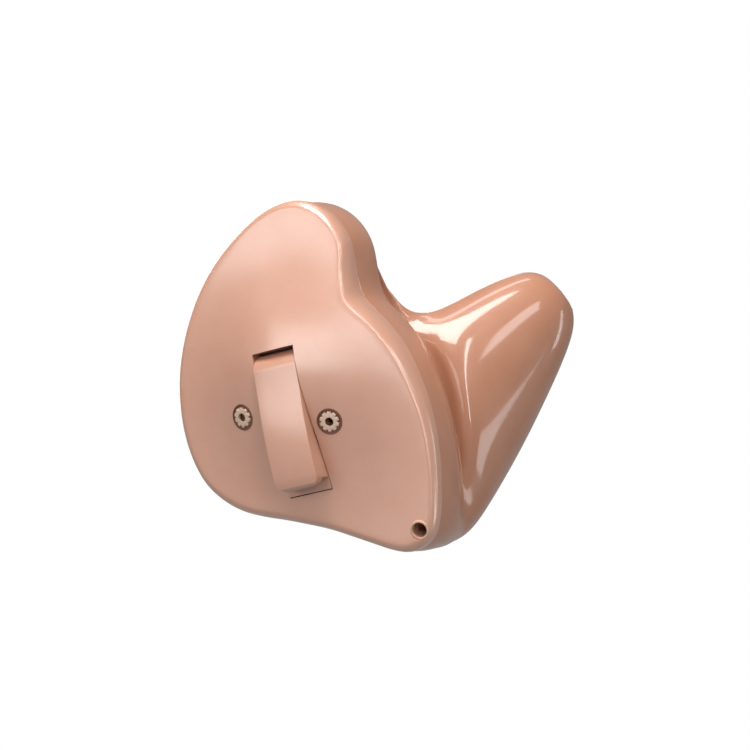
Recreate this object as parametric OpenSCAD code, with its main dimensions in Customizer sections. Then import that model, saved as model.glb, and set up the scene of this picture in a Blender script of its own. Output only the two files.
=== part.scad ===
// In-the-ear hearing aid for a right-hand concha, with its battery door hinged on the faceplate.
// The faceplate joint lies in the plane Y = 0. Minus Y looks out of the ear, plus Y goes into it, plus Z is up.
// All lengths are in millimetres, all angles in degrees.

/* [Faceplate] */
// Width of the faceplate outline
face_w = 24.4; // [24.4:0.1:25]
// Height of the faceplate outline
face_h = 29.1; // [29:0.1:30]
// Thickness of the faceplate
plate_t = 1.2; // [1.15:0.05:1.3]
// Radius of the rounded outer edge
edge_r = 0.7; // [0.5:0.1:0.9]
// Rise of the crown over the flat edge
crown_h = 3; // [2.9:0.05:3.2]
// Half width of the crown, side to side
crown_w = 8.5; // [8:0.1:9]
// Half height of the crown
crown_l = 8.25; // [8:0.1:8.6]
// Height of the crown's middle above the joint's centre
crown_z = 1.5; // [1.3:0.1:1.8]
// Width of the flat land that the shell is bonded to
land_w = 1.2; // [1.1:0.1:1.4]

/* [Shell] */
// Wall of the shell
shell_t = 0.8; // [0.7:0.05:0.85]
// Depth of the side band behind the joint
band_d = 4.7; // [4.6:0.1:5]
// How far the canal tip lies to the side
canal_x = 15.5; // [15.3:0.1:15.9]
// How far the canal tip reaches into the ear
canal_y = 15.4; // [15.2:0.1:15.9]
// How far the canal tip lies above the joint's centre
canal_z = 7.8; // [7.6:0.1:8.1]
// Width of the canal part at its root
root_w = 14.4; // [14.2:0.1:14.9]
// Height of the canal part at its root
root_h = 19; // [18.8:0.1:19.6]

/* [Battery] */
// Diameter of the zinc-air cell
cell_d = 7.9; // [7.7:0.05:7.9]
// Thickness of the cell
cell_t = 3.6; // [3.4:0.05:3.6]
// Wall of the steel can
can_t = 0.3; // [0.2:0.05:0.35]
// Width of the sealing ring between the can and the cap
seal_t = 0.35; // [0.25:0.05:0.4]
// Step from the can's crimped edge up to the cap
cap_step = 0.5; // [0.4:0.05:0.6]
// Radius of an air hole in the can
air_r = 0.16; // [0.12:0.02:0.2]

/* [Battery door] */
// Width of the door
door_w = 4; // [3.9:0.05:4.1]
// Gap between the door and its opening, each side
door_gap = 0.06; // [0.05:0.01:0.1]
// Length of the door opening
opening_l = 12.2; // [12.2:0.05:12.5]
// Middle of the opening, side to side
door_x = -0.15; // [-0.3:0.05:0]
// Middle of the opening, height
door_z = -3.05; // [-3.15:0.05:-2.95]
// Lean of the door from upright
door_lean = 12; // [11:0.5:13]
// Depth of the hinge axis under the crown
pin_depth = 1.8; // [1.75:0.05:1.85]
// Diameter of the hinge pin
pin_d = 0.8; // [0.7:0.05:0.9]
// Running clearance round the pin
pin_gap = 0.05; // [0.03:0.01:0.07]
// Wall of the ring that holds the cell
cradle_t = 0.3; // [0.25:0.05:0.3]
// Width of the ring that holds the cell
cradle_w = 3.2; // [2.8:0.1:3.4]
// Clearance round the cell
cell_gap = 0.05; // [0.03:0.01:0.07]
// Thickness of the nail lip
lip_t = 0.9; // [0.8:0.05:1]
// How far the nail grip is cut in under the lip
grip_d = 0.6; // [0.5:0.05:0.7]
// Corner radius of the nail lip
lip_r = 0.9; // [0.7:0.1:1.1]

/* [Battery bay] */
// Wall of the battery bay
bay_t = 0.45; // [0.4:0.05:0.45]
// Running gap between the door, with its cell, and the bay
bay_gap = 0.12; // [0.1:0.01:0.15]
// Thickness of the contact springs
spring_t = 0.12; // [0.1:0.01:0.14]
// Width of the contact springs
spring_w = 1.2; // [1:0.1:1.4]

/* [Microphones] */
// Gap between the front microphone's sleeve and the battery bay, side to side
mic_front_x = 0.2; // [0.16:0.02:0.3]
// Height of the front microphone
mic_front_z = -3; // [-3.2:0.1:-2.8]
// Gap between the rear microphone's sleeve and the battery bay, side to side
mic_rear_x = 1.1; // [1:0.05:1.3]
// Height of the rear microphone
mic_rear_z = -2.7; // [-2.9:0.1:-2.5]
// Diameter of a microphone cover
cover_d = 2.2; // [2:0.1:2.3]
// Thickness of a microphone cover
cover_t = 0.4; // [0.35:0.05:0.45]
// Diameter of the sound port
port_d = 0.7; // [0.6:0.05:0.8]
// Number of slots round a cover
cover_slots = 10; // [8:1:12]
// Width of a slot
slot_w = 0.18; // [0.14:0.02:0.22]
// Outer diameter of a microphone sleeve
sleeve_d = 1.6; // [1.4:0.1:1.7]
// Diameter of a microphone capsule
mic_d = 2.3; // [2.2:0.1:2.4]
// Gap between a capsule and the battery bay
mic_gap = 0.2; // [0.16:0.02:0.24]
// Length of a microphone capsule
mic_l = 2.2; // [2:0.1:2.4]

/* [Vent] */
// Bore of the vent
vent_d = 1.25; // [1.1:0.05:1.3]
// Wall of the vent tube
vent_t = 0.2; // [0.15:0.01:0.2]
// Distance of the vent from the right side of the plate's outline
vent_x = 1.4; // [1.35:0.05:1.5]
// Distance of the vent from the lower end of the plate's outline
vent_z = 1.82; // [1.8:0.02:1.9]

/* [Receiver] */
// Length of the receiver
rec_l = 5.2; // [5:0.1:5.4]
// Width of the receiver
rec_w = 2.4; // [2.2:0.1:2.6]
// Height of the receiver
rec_h = 3.4; // [3.2:0.1:3.6]
// Wall of the rubber boot
boot_t = 0.3; // [0.25:0.05:0.35]
// Distance from the canal tip to the receiver
rec_back = 4.2; // [4.1:0.1:4.4]
// Diameter of the sound bore in the tip
sound_d = 2; // [1.9:0.05:2]
// Bore of the sound tube
tube_bore = 1.1; // [1:0.05:1.2]
// Clearance of what is pushed into the sound bore
push_gap = 0.02; // [0.01:0.01:0.04]
// Length of the wax guard's body
wax_l = 1.2; // [1:0.1:1.3]
// Diameter of the wax guard's flange
flange_d = 2.2; // [2.1:0.05:2.2]
// Depth of the flange's seat
flange_t = 0.5; // [0.4:0.05:0.5]

/* [Electronics] */
// Length of the circuit board
board_l = 7.6; // [7:0.1:7.8]
// Depth of the circuit board
board_h = 3.4; // [3.2:0.1:3.6]
// Thickness of the circuit board
board_t = 0.4; // [0.3:0.05:0.5]
// Length of the signal chip
chip_l = 3.4; // [3:0.1:3.6]
// Width of the signal chip
chip_w = 2.6; // [2.4:0.1:2.8]
// Height of the signal chip
chip_t = 0.9; // [0.7:0.1:1]
// Length of the telecoil
coil_l = 5; // [4.6:0.1:5.2]
// Diameter of the telecoil's winding
coil_d = 1.6; // [1.4:0.1:1.7]
// Radius of a wire
wire_r = 0.14; // [0.12:0.01:0.16]

/* [Hidden] */
$fn = 48;

// One overrun serves every cut.
over = 0.5;
// A clearance for pieces that are set in adhesive.
glue = 0.02;
// Facets of the soft outline: samples for each span round the rim and along the canal.
around = 2;
along = 2;

// Rim outline seen from outside, anticlockwise from the lower right, as shares of its width and height.
rim_shares = [
  [0.504, -0.316], [0.492, -0.151], [0.447, -0.014], [0.373, 0.11], [0.287, 0.192], [0.209, 0.251],
  [0.18, 0.326], [0.16, 0.412], [0.09, 0.488], [-0.025, 0.529], [-0.156, 0.502], [-0.287, 0.416],
  [-0.398, 0.296], [-0.471, 0.144], [-0.496, -0.01], [-0.467, -0.165], [-0.385, -0.292],
  [-0.246, -0.364], [-0.074, -0.388], [0.098, -0.412], [0.262, -0.45], [0.393, -0.471], [0.484, -0.423]
];
rim_n = len(rim_shares);
samples = rim_n * around;
rim = [for (s = rim_shares) [s.x * face_w, s.y * face_h]];
// Point of the outline that the canal grows from, for the fan of angles round its ovals.
root_share = [0.225, -0.137];
root = [root_share.x * face_w, root_share.y * face_h];

// Side band: depth and inset as shares of the band's depth, then its slant to the left and at the helix lobe.
band_shares = [
  [0, 0], [0.234, 0.021], [0.489, 0.021], [0.766, -0.021], [1, -0.17], [1.106, -0.426], [1.255, -0.809]
];
band_slants = [[0, 0], [0, 0], [2, 0], [5, 1], [8, 9], [10, 20], [10, 28]];
// How much of the wall each band ring gives in depth as it turns to the back, at the right and at the left.
band_turn_shares = [[0, 0], [0, 0], [0.1, 0.1], [0.35, 0.35], [0.7, 0.75], [0.25, 1], [0, 1]];
turn_span_share = 0.6;
// Canal ovals: centre as shares of the tip's place, half sizes as shares of the root's half sizes.
oval_centre_shares = [
  [0.477, 0.494, -0.538], [0.523, 0.571, -0.436], [0.645, 0.688, -0.026], [0.8, 0.818, 0.436],
  [0.913, 0.919, 0.756], [0.974, 0.974, 0.923], [1, 1, 1]
];
oval_half_shares = [
  [1, 1], [0.903, 0.968], [0.736, 0.768], [0.583, 0.579], [0.472, 0.432], [0.361, 0.316], [0.236, 0.2]
];
oval_turns = [[30, 8], [36, 14], [44, 26], [48, 33], [49, 36], [49, 38], [49, 40]];
// How far the last two band rings have already turned into the first two ovals.
blend_shares = [0.5, 0.88];
// Where the inset of the band fades out towards the bottom, and its slant starts below the helix lobe.
fade_low_share = -0.498;
fade_span_share = 0.275;
fade_least_share = 0.1;
lobe_share = 0.103;
// Share of the fan of angles that is spread evenly.
even_share = 0.35;

// Spline helpers.
function cubic(a, b, c, d, t) =
  (2 * b + (c - a) * t + (2 * a - 5 * b + 4 * c - d) * t * t + (3 * b - a - 3 * c + d) * t * t * t) / 2;
function clamp(v, low, high) = min(max(v, low), high);
function at(list, i) = list[clamp(i, 0, len(list) - 1)];
function closed(list, i) = list[(i + len(list)) % len(list)];
function ring_spline(list, n) = [
  for (k = [0:len(list) * n - 1])
    let (i = floor(k / n), t = (k % n) / n)
      cubic(closed(list, i - 1), closed(list, i), closed(list, i + 1), closed(list, i + 2), t)
];
function end_before(list) = 2 * list[0] - list[1];
function end_after(list) = 2 * list[len(list) - 1] - list[len(list) - 2];
function open_spline(list, n) = [
  for (k = [0:(len(list) - 1) * n])
    let (i = min(floor(k / n), len(list) - 2), t = k / n - i)
      cubic(
        i == 0 ? end_before(list) : list[i - 1], list[i], list[i + 1],
        i == len(list) - 2 ? end_after(list) : list[i + 2], t
      )
];
function unit(v) = v / max(norm(v), 1e-9);

// Outward direction at each rim point, from its neighbours.
rim_out = [
  for (i = [0:rim_n - 1])
    let (d = closed(rim, i + 1) - closed(rim, i - 1)) unit([d.y, -d.x])
];
// Angle of each rim point about the canal's root, part fanned and part even.
raw_fan = [for (p = rim) atan2(p.y - root.y, p.x - root.x)];
turn = 360;
fan = [for (i = [0:rim_n - 1]) raw_fan[i] + (raw_fan[i] < raw_fan[0] - 1 ? turn : 0)];
phi = [for (i = [0:rim_n - 1]) (1 - even_share) * fan[i] + even_share * (fan[0] + i * turn / rim_n)];
rim_right = max([for (p = rim) p.x]);
rim_low = min([for (p = rim) p.y]);

function fade(z) = clamp((z / face_h - fade_low_share) / fade_span_share, fade_least_share, 1);
function band_ring(k, wall) = [
  for (i = [0:rim_n - 1])
    let (
      inset = band_shares[k].y * band_d,
      grow = (inset < 0 ? inset * fade(rim[i].y) : inset) - wall,
      p = rim[i] + rim_out[i] * grow,
      leftness = clamp((rim_right - p.x) / face_w / turn_span_share, 0, 1),
      given = wall * (band_turn_shares[k].x * (1 - leftness) + band_turn_shares[k].y * leftness),
      slant = (rim_right - p.x) * tan(band_slants[k].x),
      drop = max(0, p.y - lobe_share * face_h) * tan(band_slants[k].y)
    )
      [p.x, band_shares[k].x * band_d - given + slant - drop, p.y]
];
function side_of(yaw) = [cos(yaw), -sin(yaw), 0];
function up_of(yaw, pitch) = [-sin(yaw) * sin(pitch), -cos(yaw) * sin(pitch), cos(pitch)];
function ahead_of(yaw, pitch) = [sin(yaw) * cos(pitch), cos(yaw) * cos(pitch), sin(pitch)];
function oval_centre(k) = let (c = oval_centre_shares[k]) [c.x * canal_x, c.y * canal_y, c.z * canal_z];
function oval_ring(k, wall) = let (
  half_w = oval_half_shares[k].x * root_w / 2 - wall,
  half_h = oval_half_shares[k].y * root_h / 2 - wall,
  u = side_of(oval_turns[k].x),
  v = up_of(oval_turns[k].x, oval_turns[k].y)
) [for (a = phi) oval_centre(k) + half_w * cos(a) * u + half_h * sin(a) * v];
function mixed(a, b, t) = [for (i = [0:len(a) - 1]) a[i] * (1 - t) + b[i] * t];

plain_bands = 5;
// Wall at each ring as a share of the shell's wall: thicker behind the crease where the canal part starts.
wall_shares = [1, 1, 1, 1.05, 1.6, 2.25, 1.65, 1.1, 1, 1, 1, 1];
// The outer skin has no wall taken off its rings, and the inner skin has the whole wall taken off.
function stations(wall) = concat(
  [for (k = [0:plain_bands - 1]) band_ring(k, wall * wall_shares[k])],
  [
    for (k = [0:1])
      let (w = wall * wall_shares[plain_bands + k])
        mixed(band_ring(plain_bands + k, w), oval_ring(k, w), blend_shares[k])
  ],
  [for (k = [2:len(oval_turns) - 1]) oval_ring(k, wall * wall_shares[plain_bands + k])]
);
function loft(rings) =
  let (columns = [for (j = [0:rim_n - 1]) open_spline([for (r = rings) r[j]], along)])
    [for (i = [0:len(columns[0]) - 1]) ring_spline([for (c = columns) c[i]], around)];
skin = loft(stations(0));
ring_count = len(skin);
// The tip is left solid for its bores, so the inner skin stops a few rings short of it.
tip_rings = 4;
inner_count = ring_count - tip_rings;
whole_inner = loft(stations(shell_t));
inner_skin = [for (i = [0:inner_count - 1]) whole_inner[i]];
function middle(list) = [for (v = list) 1] * list / len(list);

// Walls between the rings of a grid, as triangles, each ring with the same number of points.
function wall_faces(rings, n, start, flip) = [
  for (i = [0:rings - 2], k = [0:n - 1], half = [0, 1])
    let (
      a = start + i * n + k,
      b = start + i * n + (k + 1) % n,
      c = a + n,
      d = b + n,
      f = half == 0 ? [a, d, b] : [a, c, d]
    )
      flip ? [f[0], f[2], f[1]] : f
];
function fan_faces(first, n, hub, flip) = [
  for (k = [0:n - 1])
    flip ? [hub, first + k, first + (k + 1) % n] : [hub, first + (k + 1) % n, first + k]
];
// A flat end between an outer ring and an inner one.
function end_faces(outer, inner, n, flip) = [
  for (k = [0:n - 1], half = [0, 1])
    let (
      a = outer + k,
      b = outer + (k + 1) % n,
      c = inner + k,
      d = inner + (k + 1) % n,
      f = half == 0 ? [a, c, d] : [a, d, b]
    )
      flip ? [f[0], f[2], f[1]] : f
];
function joined(lists) = [for (l = lists, v = l) v];

// Canal axis through the tip, for the receiver and the bores.
tip = [canal_x, canal_y, canal_z];
canal_yaw = 48.7;
canal_pitch = 47.6;
canal_ahead = ahead_of(canal_yaw, canal_pitch);
canal_up = up_of(canal_yaw, canal_pitch);
function canal_point(down, back) = tip - down * canal_up - back * canal_ahead;
function mixed_point(a, b, t) = a * (1 - t) + b * t;
function beyond(a, b, d) = b + unit(b - a) * d;
module in_canal() {
  translate(tip)
    rotate([0, 0, -canal_yaw])
      rotate([canal_pitch - turn / 4, 0, 0])
        children();
}

// Vent route: plate, first bend, behind the receiver, below its front, tip.
vent_at = [rim_right - vent_x, rim_low + vent_z];
vent_r = vent_d / 2;
vent_out_r = vent_r + vent_t;
function crown(x, z) = crown_h * exp(-pow(x / crown_w, 2) - pow((z - crown_z) / crown_l, 2));
vent_bend_in = 4.6;
vent_bend_side = 0.55;
vent_bend_up = 1.58;
vent_low = rec_h / 2 + boot_t + vent_out_r + 0.02 * rec_h;
vent_tip_back = 0.35;
// How far the straight inlet reaches along the first run, and the tube along the last one.
inlet_share = 0.16;
tube_end_share = 0.25;
vent_tip_down = flange_d / 2 + vent_r + vent_t;
vent_start = [vent_at.x, -plate_t - crown(vent_at.x, vent_at.y), vent_at.y];
vent_route = [
  vent_start,
  [vent_at.x - vent_bend_side, vent_bend_in, vent_at.y + vent_bend_up],
  canal_point(vent_low + vent_t, rec_back + rec_l + vent_d / 2),
  canal_point(vent_low, rec_back - vent_t),
  canal_point(vent_tip_down, vent_tip_back)
];
vent_last = len(vent_route) - 1;
inlet_end = mixed_point(vent_route[0], vent_route[1], inlet_share);
tube_end = mixed_point(vent_route[vent_last - 1], vent_route[vent_last], tube_end_share);
tube_route = concat([inlet_end], [for (i = [1:vent_last - 1]) vent_route[i]], [tube_end]);

// Door frame: origin in the joint plane at the middle of the opening, X along the hinge, Z along the door.
module in_door() {
  translate([door_x, 0, door_z]) rotate([0, -door_lean, 0]) children();
}
// Side profiles are drawn along the door and into the ear, then spread across the door.
module across_door(width) {
  rotate([0, -turn / 4, 0]) translate([0, 0, -width / 2]) linear_extrude(width) children();
}
// The opening and the bay pass the wider of the door and the cell, the bay with its springs too.
half_cell = cell_t / 2;
spring_play = 0.03;
opening_w = max(door_w + 2 * door_gap, cell_t + 2 * cell_gap);
open_top = opening_l / 2;
open_low = -opening_l / 2;
crown_top = plate_t + crown_h;
face_y = -crown_top;
pin_r = pin_d / 2;
pin_y = face_y + pin_depth;
hinge_reach = pin_depth + 0.2 * bay_t + door_gap + glue;
pin_z = open_top - hinge_reach;
door_round = hinge_reach - bay_gap;
knuckle_r = pin_r + pin_d * 0.75;
cell_r = cell_d / 2;
ring_r = cell_r + cell_gap;
cradle_r = ring_r + cradle_t;
// The cell hangs as low as lets its ring swing out past the lower end of the opening.
cell_y = face_y + lip_t + ring_r + 0.25 * lip_t;
sweep_r = pin_z - open_low - bay_gap;
cell_drop = sqrt(pow(sweep_r - cradle_r, 2) - pow(cell_y - pin_y, 2));
cell_z = pin_z - cell_drop;
bay_half = max(door_w / 2 + bay_gap * 1.25, half_cell + spring_play + 2 * spring_t);
bay_out = bay_half + bay_t;
bay_floor = cell_y + cradle_r + bay_gap;
bay_r = sweep_r + bay_gap / 2;
bay_top = cell_z + cradle_r + bay_gap;
boss_r = pin_r + bay_t;
boss_l = bay_t;

// Height of the plate's surfaces along the door's middle line.
function plate_y(z) =
  let (x = door_x - z * sin(door_lean), h = door_z + z * cos(door_lean)) -plate_t - crown(x, h);

module shell() {
  outer_points = joined(skin);
  inner_points = joined(inner_skin);
  outer_n = ring_count * samples;
  inner_n = inner_count * samples;
  hubs = [middle(skin[ring_count - 1]), middle(inner_skin[inner_count - 1])];
  lip = [
    for (k = [0:samples - 1], half = [0, 1])
      let (a = k, b = (k + 1) % samples)
        half == 0 ? [a, outer_n + b, b] : [a, outer_n + a, outer_n + b]
  ];
  color([0.83, 0.63, 0.52])
    difference() {
      polyhedron(
        points = concat(outer_points, inner_points, hubs),
        faces = concat(
          wall_faces(ring_count, samples, 0, true),
          fan_faces(outer_n - samples, samples, outer_n + inner_n, true),
          wall_faces(inner_count, samples, outer_n, false),
          fan_faces(outer_n + inner_n - samples, samples, outer_n + inner_n + 1, false),
          lip
        ),
        convexity = 8
      );
      in_canal() {
        translate([0, 0, -rec_back]) cylinder(h = rec_back + 2 * over, d = sound_d);
        translate([0, 0, -flange_t]) cylinder(h = flange_t + 3 * over, d = flange_d + 2 * push_gap);
      }
      vent_channel();
    }
}

module rod(a, b, r, before, after) {
  d = b - a;
  l = norm(d);
  translate(a)
    rotate([0, acos(d.z / l), atan2(d.y, d.x)])
      translate([0, 0, -before])
        cylinder(h = l + before + after, r = r);
}

// The way of the vent through the shell: the vent's own run with a clearance, then a plain bore.
module vent_channel() {
  last = len(tube_route) - 1;
  run = concat(
    [vent_route[0]],
    [for (i = [1:last - 1]) tube_route[i]],
    [beyond(tube_route[last - 1], tube_route[last], glue)]
  );
  n = (last + 1) * tube_sides;
  polyhedron(
    points = concat(joined([for (i = [0:last]) tube_ring(run, i, vent_out_r + glue)]), [run[0], run[last]]),
    faces = concat(
      wall_faces(last + 1, tube_sides, 0, false),
      fan_faces(0, tube_sides, n, true),
      fan_faces(n - tube_sides, tube_sides, n + 1, false)
    ),
    convexity = 4
  );
  rod(tube_end, vent_route[vent_last], vent_r, 0, 4 * over);
}

module vent_inlet() {
  color([0.9, 0.76, 0.68])
    difference() {
      rod(vent_route[0], inlet_end, vent_out_r, 0, 0);
      rod(vent_route[0], inlet_end, vent_r, over, over);
    }
}

// A ring of corners on the tube, mitred at a bend.
tube_sides = 24;
function tube_ring(route, i, r) =
  let (
    last = len(route) - 1,
    before = unit(route[max(i, 1)] - route[max(i, 1) - 1]),
    after = unit(route[min(i, last - 1) + 1] - route[min(i, last - 1)]),
    ahead = unit(before + after),
    side = norm(after - before) > glue / 10 ? unit(after - before) : [0, 0, 0],
    stretch = 1 / (before * ahead) - 1,
    u = unit(cross(ahead, [1, 0, 0])),
    v = cross(ahead, u)
  )
    [
      for (k = [0:tube_sides - 1])
        let (a = k * turn / tube_sides, p = r * (cos(a) * u + sin(a) * v))
          route[i] + p + side * (p * side) * stretch
    ];

module vent_tube() {
  last = len(tube_route) - 1;
  n = (last + 1) * tube_sides;
  color([0.9, 0.76, 0.68])
    polyhedron(
      points = concat(
        joined([for (i = [0:last]) tube_ring(tube_route, i, vent_out_r)]),
        joined([for (i = [0:last]) tube_ring(tube_route, i, vent_r)])
      ),
      faces = concat(
        wall_faces(last + 1, tube_sides, 0, false),
        wall_faces(last + 1, tube_sides, n, true),
        end_faces(0, n, tube_sides, true),
        end_faces(n - tube_sides, 2 * n - tube_sides, tube_sides, false)
      ),
      convexity = 6
    );
}

// Faceplate rings: the rim moved inwards by a distance, or drawn together towards the plate's middle.
hub_share = [-0.082, -0.034];
hub = [hub_share.x * face_w, hub_share.y * face_h];
rim_fine = ring_spline(rim, around);
fine_out = [
  for (i = [0:samples - 1])
    let (d = closed(rim_fine, i + 1) - closed(rim_fine, i - 1)) unit([d.y, -d.x])
];
function inset_rim(s) = [for (i = [0:samples - 1]) rim_fine[i] - fine_out[i] * s];
function drawn_rim(s, t) = [for (p = inset_rim(s)) hub + (p - hub) * t];
function flat_ring(ring, y) = [for (p = ring) [p.x, y, p.y]];
function crown_ring(ring, lift) = [for (p = ring) [p.x, -lift - crown(p.x, p.y), p.y]];
draw_shares = [0.9, 0.79, 0.67, 0.55, 0.43, 0.31, 0.19, 0.08];
edge_steps = 4;
edge_rings = [
  for (k = [0:edge_steps])
    let (a = k * turn / 4 / edge_steps, s = edge_r * (1 - cos(a)), ring = inset_rim(s))
      [for (p = ring) [p.x, -(plate_t - edge_r) - edge_r * sin(a) - crown(p.x, p.y) * sin(a), p.y]]
];
under_step = land_w + plate_t / 4;
under_rings = concat(
  [crown_ring(inset_rim(under_step), 0)],
  [for (t = draw_shares) crown_ring(drawn_rim(under_step, t), 0)]
);
hub_top = [hub.x, -plate_t - crown(hub.x, hub.y), hub.y];
hub_under = [hub.x, -crown(hub.x, hub.y), hub.y];

module plate_blank() {
  top_rings = concat(
    [flat_ring(rim_fine, 0)],
    edge_rings,
    [for (t = draw_shares) crown_ring(drawn_rim(edge_r, t), plate_t)]
  );
  low_rings = concat([flat_ring(inset_rim(land_w), 0)], under_rings);
  top_n = len(top_rings) * samples;
  low_n = len(low_rings) * samples;
  land = [
    for (k = [0:samples - 1], half = [0, 1])
      let (a = k, b = (k + 1) % samples)
        half == 0 ? [a, b, top_n + b] : [a, top_n + b, top_n + a]
  ];
  polyhedron(
    points = concat(joined(top_rings), joined(low_rings), [hub_top, hub_under]),
    faces = concat(
      wall_faces(len(top_rings), samples, 0, false),
      fan_faces(top_n - samples, samples, top_n + low_n, false),
      wall_faces(len(low_rings), samples, top_n, true),
      fan_faces(top_n + low_n - samples, samples, top_n + low_n + 1, true),
      land
    ),
    convexity = 6
  );
}

// Everything outside the plate's inner face, with the same facets, to trim what is bonded under it.
module above_plate() {
  far = -crown_top - 2 * face_w / 10;
  n = len(under_rings) * samples;
  far_ring = flat_ring(inset_rim(under_step), far);
  far_hub = [hub.x, far, hub.y];
  rims = [
    for (k = [0:samples - 1], half = [0, 1])
      let (a = k, b = (k + 1) % samples)
        half == 0 ? [a, n + b, b] : [a, n + a, n + b]
  ];
  polyhedron(
    points = concat(joined(under_rings), far_ring, [hub_under, far_hub]),
    faces = concat(
      wall_faces(len(under_rings), samples, 0, true),
      fan_faces(n - samples, samples, n + samples, true),
      fan_faces(n, samples, n + samples + 1, false),
      rims
    ),
    convexity = 4
  );
}

// A microphone's place on the plate: side, height, and the way out along the crown's slope.
function beside_bay(side, gap, z) =
  door_x + (side * (bay_out + gap) - (z - door_z) * sin(door_lean)) / cos(door_lean);
mic_front = [beside_bay(1, mic_front_x + sleeve_d / 2, mic_front_z), mic_front_z];
mic_rear = [beside_bay(-1, mic_rear_x + sleeve_d / 2, mic_rear_z), mic_rear_z];
// A capsule sits clear of the bay, so its port may be off its middle.
capsule_front = max(mic_front.x, beside_bay(1, mic_gap + mic_d / 2, mic_front_z));
capsule_rear = min(mic_rear.x, beside_bay(-1, mic_gap + mic_d / 2, mic_rear_z));
function slope_x(p) = -2 * p.x / pow(crown_w, 2) * crown(p.x, p.y);
function slope_z(p) = -2 * (p.y - crown_z) / pow(crown_l, 2) * crown(p.x, p.y);
module on_plate(p) {
  out = unit([-slope_x(p), -1, -slope_z(p)]);
  translate([p.x, -plate_t - crown(p.x, p.y), p.y])
    rotate([0, acos(out.z), atan2(out.y, out.x)])
      children();
}
// The straight way in behind a port, measured from the plate's inner face.
module behind_plate(p) {
  translate([p.x, -crown(p.x, p.y), p.y]) rotate([-turn / 4, 0, 0]) children();
}
cover_seat = 0.3;
sleeve_in = 0.35;
sleeve_out = 0.5;

module faceplate() {
  color([0.86, 0.67, 0.57])
    difference() {
      plate_blank();
      in_door()
        translate([-opening_w / 2, -crown_top - over, open_low])
          cube([opening_w, crown_top + 2 * over, opening_l]);
      for (p = [mic_front, mic_rear]) {
        on_plate(p)
          translate([0, 0, -cover_seat])
            cylinder(h = cover_seat + over, d = cover_d + 2 * glue);
        behind_plate(p) {
          translate([0, 0, -plate_t - over]) cylinder(h = plate_t + 2 * over, d = port_d);
          translate([0, 0, -sleeve_in]) cylinder(h = sleeve_in + over, d = sleeve_d);
        }
      }
      rod(vent_route[0], vent_route[1], vent_out_r, over, 0);
      // One end of the hinge pin is seated in the plate.
      in_door()
        translate([-bay_out - boss_l, pin_y, pin_z])
          rotate([0, turn / 4, 0])
            cylinder(h = 2 * (bay_out + boss_l), r = pin_r);
    }
}

// The bay in the door's frame: an arc of the door's sweep, cut off at its back and its top.
module bay_body(width, r, back, top, low, bulge) {
  intersection() {
    translate([-width / 2, pin_y, pin_z])
      rotate([0, turn / 4, 0])
        cylinder(h = width, r = r, $fn = 96);
    translate([-width, -crown_top - over, low]) cube([2 * width, back + crown_top + over, top - low]);
  }
  translate([-width / 2, pin_y, pin_z])
    rotate([0, turn / 4, 0])
      cylinder(h = width, r = bulge);
}

spring_low = cell_z - cell_r * 0.8;
spring_high = cell_z + cell_r * 0.4;
spring_y = cell_y + cell_r * 0.5;
tab_h = spring_w * 0.6;
tab_l = bay_t + spring_w * 0.5;
slot_gap = 0.05;

module battery_bay() {
  color([0.2, 0.19, 0.2])
    difference() {
      in_door()
        difference() {
          union() {
            bay_body(
              2 * bay_out, bay_r + bay_t, bay_floor + bay_t, bay_top + bay_t,
              open_low - bay_t / 4, hinge_reach + bay_t - bay_gap
            );
            translate([-bay_out - boss_l, pin_y, pin_z])
              rotate([0, turn / 4, 0])
                cylinder(h = 2 * (bay_out + boss_l), r = boss_r);
          }
          bay_body(2 * bay_half, bay_r, bay_floor, bay_top, open_low - face_w, hinge_reach - bay_gap / 2);
          translate([-bay_out - 2 * boss_l, pin_y, pin_z])
            rotate([0, turn / 4, 0])
              cylinder(h = 2 * bay_out + 4 * boss_l, r = pin_r);
          for (side = [-1, 1])
            translate([
              side * (bay_half + bay_t / 2) - bay_t, spring_y - spring_w / 2 - slot_gap, spring_low - slot_gap
            ])
              cube([2 * bay_t, spring_w + 2 * slot_gap, tab_h + 2 * slot_gap]);
        }
      above_plate();
    }
}

module hinge_pin() {
  color([0.72, 0.73, 0.75])
    in_door()
      translate([-bay_out - boss_l, pin_y, pin_z])
        rotate([0, turn / 4, 0])
          cylinder(h = 2 * (bay_out + boss_l), r = pin_r);
}

lip_low = open_low + lip_t / 2;
toe_low = open_low + door_gap;
strip_rise = 0.15;
toe_t = 0.8;

skirt_y = cell_y - ring_r * 0.42;

// Side profile of the strip with its nail lip, its toe and the skirt behind it.
module door_side() {
  polygon([
    [pin_z + pin_r, face_y], [lip_low + lip_t, face_y - strip_rise],
    [lip_low + lip_t / 4, face_y - strip_rise * 0.8],
    [lip_low, face_y + lip_t / 4], [lip_low + lip_t / 8, face_y - strip_rise + lip_t],
    [lip_low + grip_d, face_y + lip_t], [lip_low + grip_d, plate_y(lip_low + grip_d)],
    [toe_low - over, plate_y(toe_low)], [toe_low - over, plate_y(toe_low) + toe_t],
    [lip_low + grip_d + toe_t / 2, skirt_y], [pin_z - knuckle_r, skirt_y], [pin_z + pin_r, pin_y]
  ]);
}

// Plan of the door from outside: square at the hinge, round at the nail lip.
module door_plan() {
  half = door_w / 2;
  low = lip_low + lip_r;
  translate([-half, low]) square([door_w, open_top - low]);
  translate([-half + lip_r, lip_low]) square([door_w - 2 * lip_r, 2 * lip_r]);
  for (side = [-1, 1])
    translate([side * (half - lip_r), low]) circle(lip_r);
}

module round_at(z, y, w, r, facets) {
  translate([-w / 2, y, z]) rotate([0, turn / 4, 0]) cylinder(h = w, r = r, $fn = facets);
}

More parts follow.
